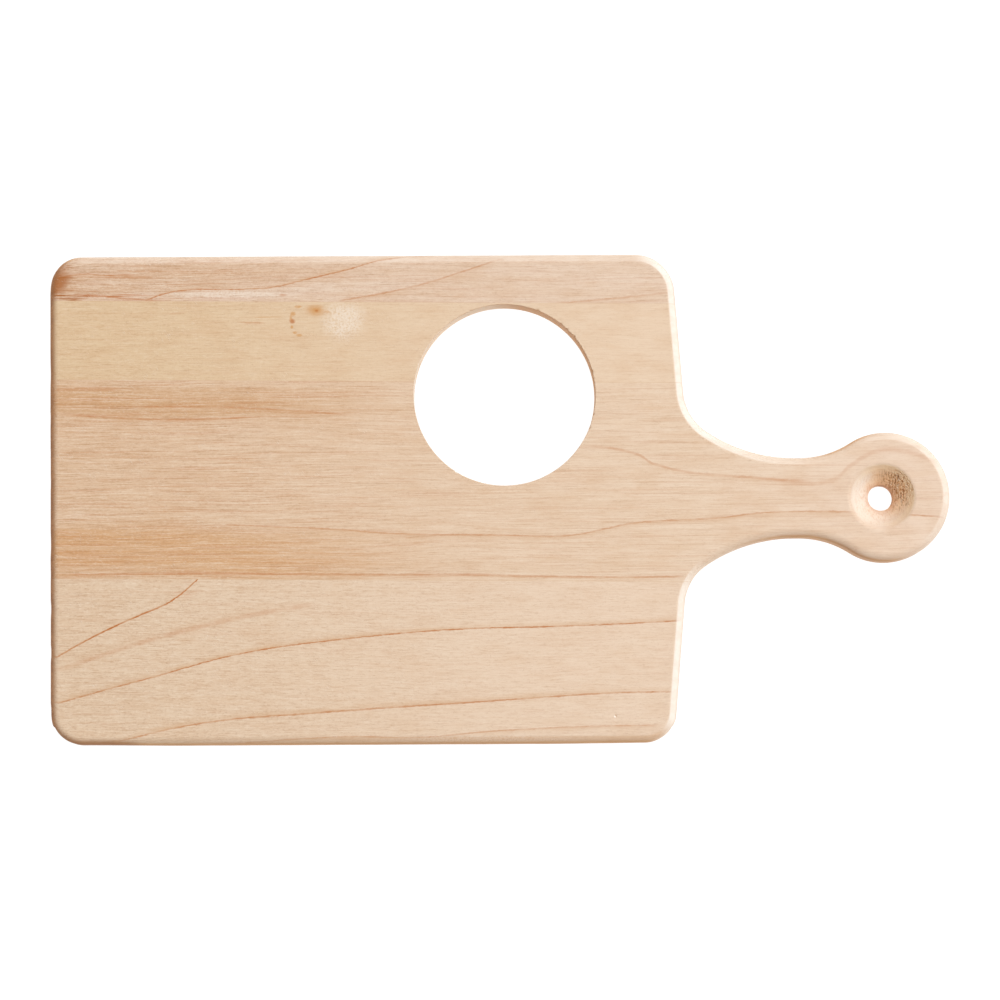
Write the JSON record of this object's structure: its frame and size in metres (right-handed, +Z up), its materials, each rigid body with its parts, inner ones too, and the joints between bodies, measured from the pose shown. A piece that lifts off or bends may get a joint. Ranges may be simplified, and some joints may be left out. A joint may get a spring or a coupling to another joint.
{
  "type": "cutting board",
  "caption": "Edge-glued wooden paddle cutting board with a round cup hole and a short neck ending in a round knob with a countersunk hanging hole.",
  "frame": {"origin": "centre of the board's bounding box on the flat lower face it rests on", "axes": "+X along the grain towards the handle knob, +Y towards the long edge nearer the cup hole, +Z up out of the upper face"},
  "size_m": [0.3492, 0.19, 0.0191],
  "materials": {
    "wood_back_edge": "sanded, unfinished, pinkish brown with darker growth rings",
    "wood_hole_side": "sanded, unfinished, plain yellowish sapwood with one small knot",
    "wood_handle": "sanded, unfinished, fine straight grain with reddish growth rings",
    "wood_front_edge": "sanded, unfinished, pale with long growth-ring arches",
    "glue": "cured wood glue, sanded flush"
  },
  "bodies": {
    "root": {"stave_back_edge": "wood_back_edge", "stave_hole_side": "wood_hole_side", "stave_handle": "wood_handle", "stave_front_edge": "wood_front_edge", "glue_line_back": "glue", "glue_line_hole": "glue", "glue_line_front": "glue"}
  },
  "joints": []
}
